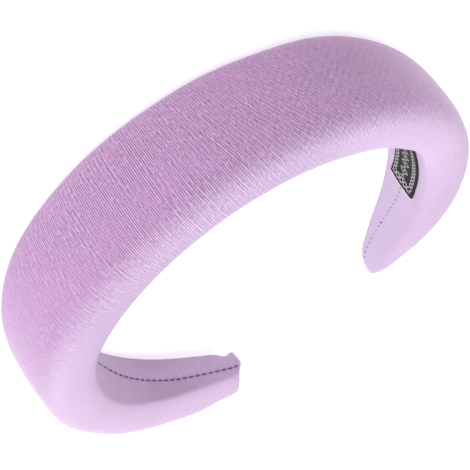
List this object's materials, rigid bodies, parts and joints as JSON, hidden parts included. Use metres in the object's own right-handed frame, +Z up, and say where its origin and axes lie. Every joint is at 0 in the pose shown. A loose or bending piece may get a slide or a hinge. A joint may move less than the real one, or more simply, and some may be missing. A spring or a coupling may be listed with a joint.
{
  "type": "padded headband",
  "caption": "Wide open hoop in a thick satin pad that narrows to two blunt ends, with turned-in edges sewn along the inner face and a small woven label.",
  "frame": {"origin": "middle of the plan outline, at the height of the floor that the headband lies on", "axes": "+Z up from the floor, -Y towards the crown, +Y towards the two ends, +X to the arm without the label"},
  "size_m": [0.184, 0.1588, 0.0468],
  "materials": {
    "satin": "lilac satin with fine ribs across the band and a soft sheen",
    "satin_inner": "the same satin, turned in and pulled flat over the inner face",
    "label_cloth": "black woven label with a thin grey border, left bare",
    "thread": "dark purple sewing thread"
  },
  "bodies": {
    "root": {"padded_band": "satin", "inner_flap_front": "satin_inner", "inner_flap_back": "satin_inner", "woven_label": "label_cloth"}
  },
  "joints": []
}
